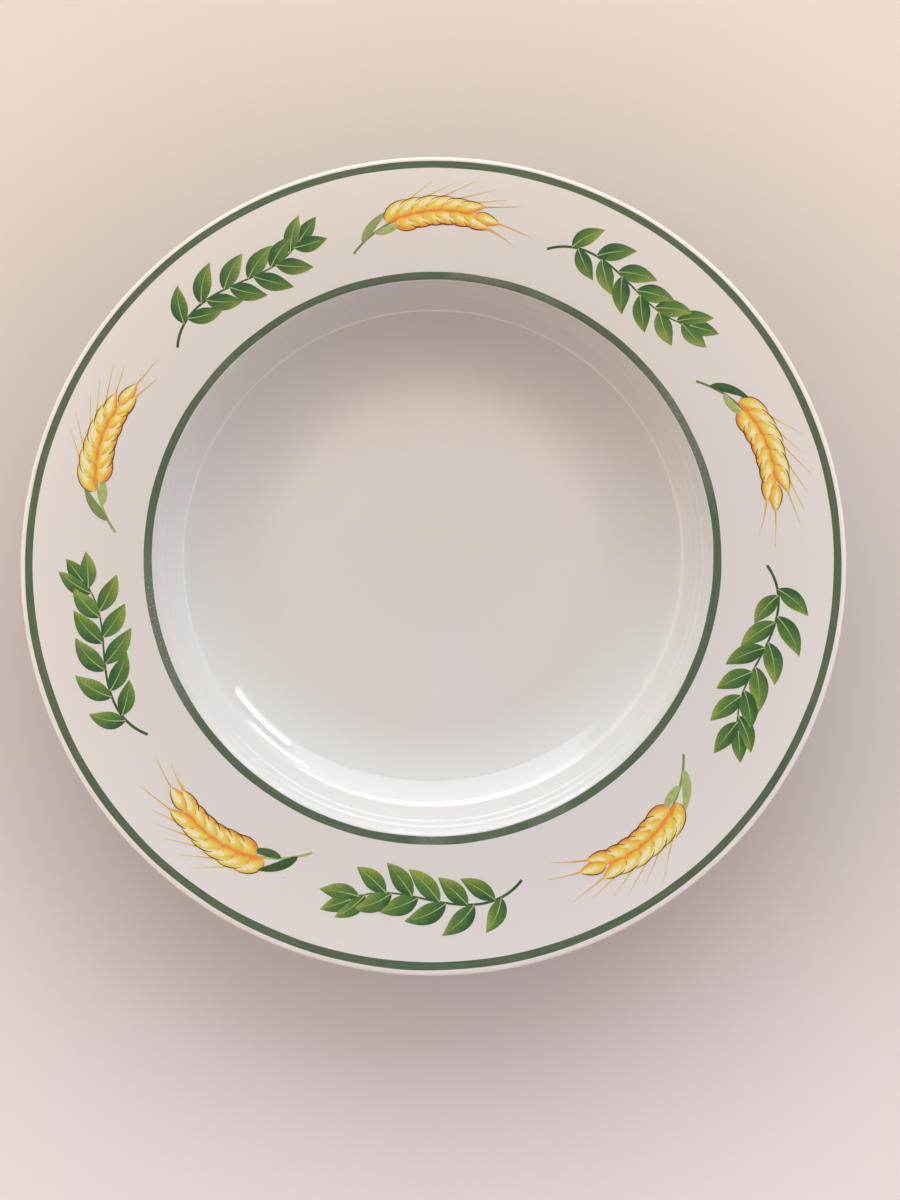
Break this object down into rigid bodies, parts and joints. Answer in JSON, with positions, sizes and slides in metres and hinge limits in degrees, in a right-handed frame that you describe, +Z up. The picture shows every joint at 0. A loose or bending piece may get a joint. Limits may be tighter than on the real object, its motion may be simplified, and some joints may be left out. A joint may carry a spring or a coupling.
{
  "type": "pasta plate",
  "caption": "Round pasta plate of white glazed porcelain with a wide, nearly flat rim edged by green bands, a rounded well with a flat floor, and a foot ring.",
  "frame": {"origin": "middle of the plate, on the plane that its foot ring stands on", "axes": "+Z up along the axis that the plate is turned about"},
  "size_m": [0.27, 0.27, 0.031],
  "materials": {
    "white_glaze": "clear glossy glaze over a warm white body"
  },
  "bodies": {
    "root": {"plate": "white_glaze"}
  },
  "joints": []
}
